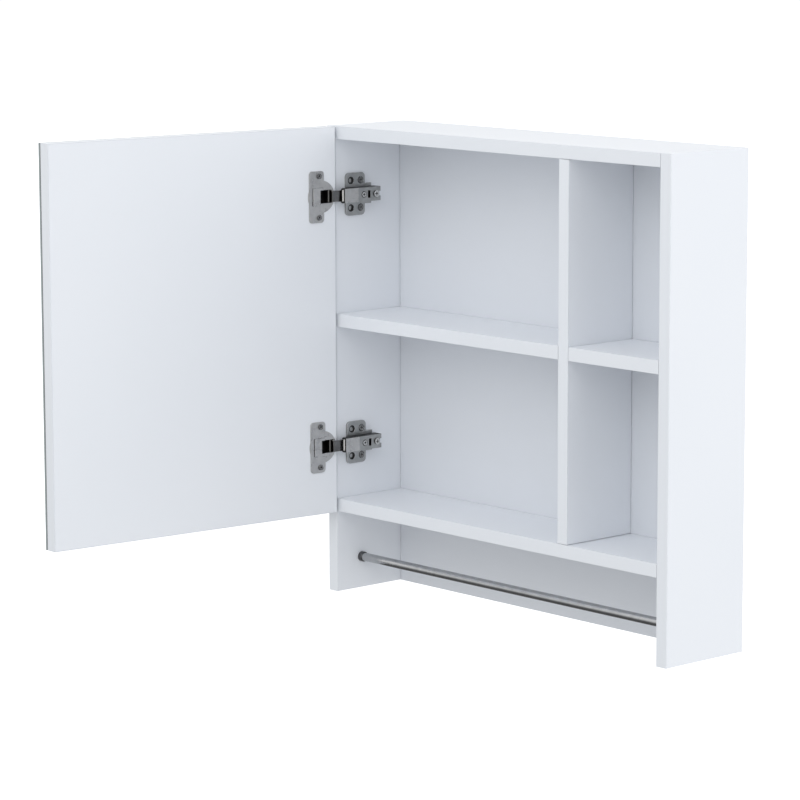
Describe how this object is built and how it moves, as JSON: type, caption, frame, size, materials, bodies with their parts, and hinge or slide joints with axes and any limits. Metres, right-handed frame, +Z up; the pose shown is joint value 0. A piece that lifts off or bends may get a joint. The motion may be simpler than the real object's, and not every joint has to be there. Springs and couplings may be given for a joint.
{
  "type": "bathroom medicine cabinet with mirror door",
  "caption": "White wall cabinet with a mirror door on concealed hinges, shelved compartments and a towel rail in the open bay below.",
  "frame": {"origin": "on the wall, midway between the round holes of the two keyhole hangers", "axes": "+X to the right as seen from the room, +Y into the wall, +Z up; the door opens towards -Y"},
  "size_m": [0.5799, 0.511, 0.55],
  "materials": {
    "white_board": "satin white laminate on particle board",
    "edge_band": "satin white edging",
    "mirror_glass": "silvered float glass with ground edges",
    "foam_pad": "grey foam adhesive",
    "beech": "fluted beech",
    "zinc": "die-cast zinc",
    "rail_steel": "polished stainless tube",
    "screw_steel": "bright zinc-plated",
    "galvanised": "galvanised sheet",
    "nickel": "nickel-plated steel, satin"
  },
  "bodies": {
    "cabinet": {"left_side_panel": "white_board", "right_side_panel": "white_board", "top_panel": "white_board", "bottom_panel": "white_board", "divider_panel": "white_board", "left_shelf": "white_board", "right_shelf": "white_board", "back_panel": "white_board", "left_side_edge_band": "edge_band", "right_side_edge_band": "edge_band", "top_edge_band": "edge_band", "bottom_edge_band": "edge_band", "divider_edge_band": "edge_band", "left_shelf_edge_band": "edge_band", "right_shelf_edge_band": "edge_band", "towel_rail": "rail_steel", "left_rail_socket": "nickel", "right_rail_socket": "nickel", "rail_socket_screws": "screw_steel", "cam_lock_housings": "zinc", "cam_lock_bolts": "screw_steel", "wooden_dowels": "beech", "back_panel_screws": "screw_steel", "left_hanger_plate": "galvanised", "right_hanger_plate": "galvanised", "hanger_plate_screws": "screw_steel", "upper_mounting_plate": "nickel", "upper_plate_screws": "screw_steel", "upper_hinge_arm": "nickel", "upper_overlay_screw": "screw_steel", "upper_fixing_screw": "screw_steel", "upper_arm_pin": "screw_steel", "lower_mounting_plate": "nickel", "lower_plate_screws": "screw_steel", "lower_hinge_arm": "nickel", "lower_overlay_screw": "screw_steel", "lower_fixing_screw": "screw_steel", "lower_arm_pin": "screw_steel"},
    "upper_link": {"upper_hinge_link": "nickel"},
    "lower_link": {"lower_hinge_link": "nickel"},
    "door": {"door_panel": "white_board", "door_edge_band": "edge_band", "door_mirror": "mirror_glass", "mirror_adhesive_pads": "foam_pad", "upper_hinge_cup": "nickel", "upper_damper_cover": "nickel", "upper_cup_screws": "screw_steel", "upper_cup_pin": "screw_steel", "lower_hinge_cup": "nickel", "lower_damper_cover": "nickel", "lower_cup_screws": "screw_steel", "lower_cup_pin": "screw_steel"}
  },
  "joints": [
    {"name": "door_swing", "type": "hinge", "parent": "upper_link", "child": "door", "pos_m": [-0.25909, -0.13151, -0.0305], "axis": [0, 0, 1], "range_deg": [-7.4, 127.7]},
    {"name": "upper_link_swing", "type": "hinge", "parent": "cabinet", "child": "upper_link", "pos_m": [-0.251, -0.1158, -0.0305], "axis": [0, 0, 1], "range_deg": [-33.56, 2.2]},
    {"name": "lower_link_swing", "type": "hinge", "parent": "cabinet", "child": "lower_link", "pos_m": [-0.251, -0.1158, -0.3235], "axis": [0, 0, 1], "range_deg": [-33.56, 2.2]}
  ],
  "couplings": [
    {"joint": "upper_link_swing", "follows": "door_swing", "ratio": -0.26035},
    {"joint": "lower_link_swing", "follows": "door_swing", "ratio": -0.26035}
  ]
}
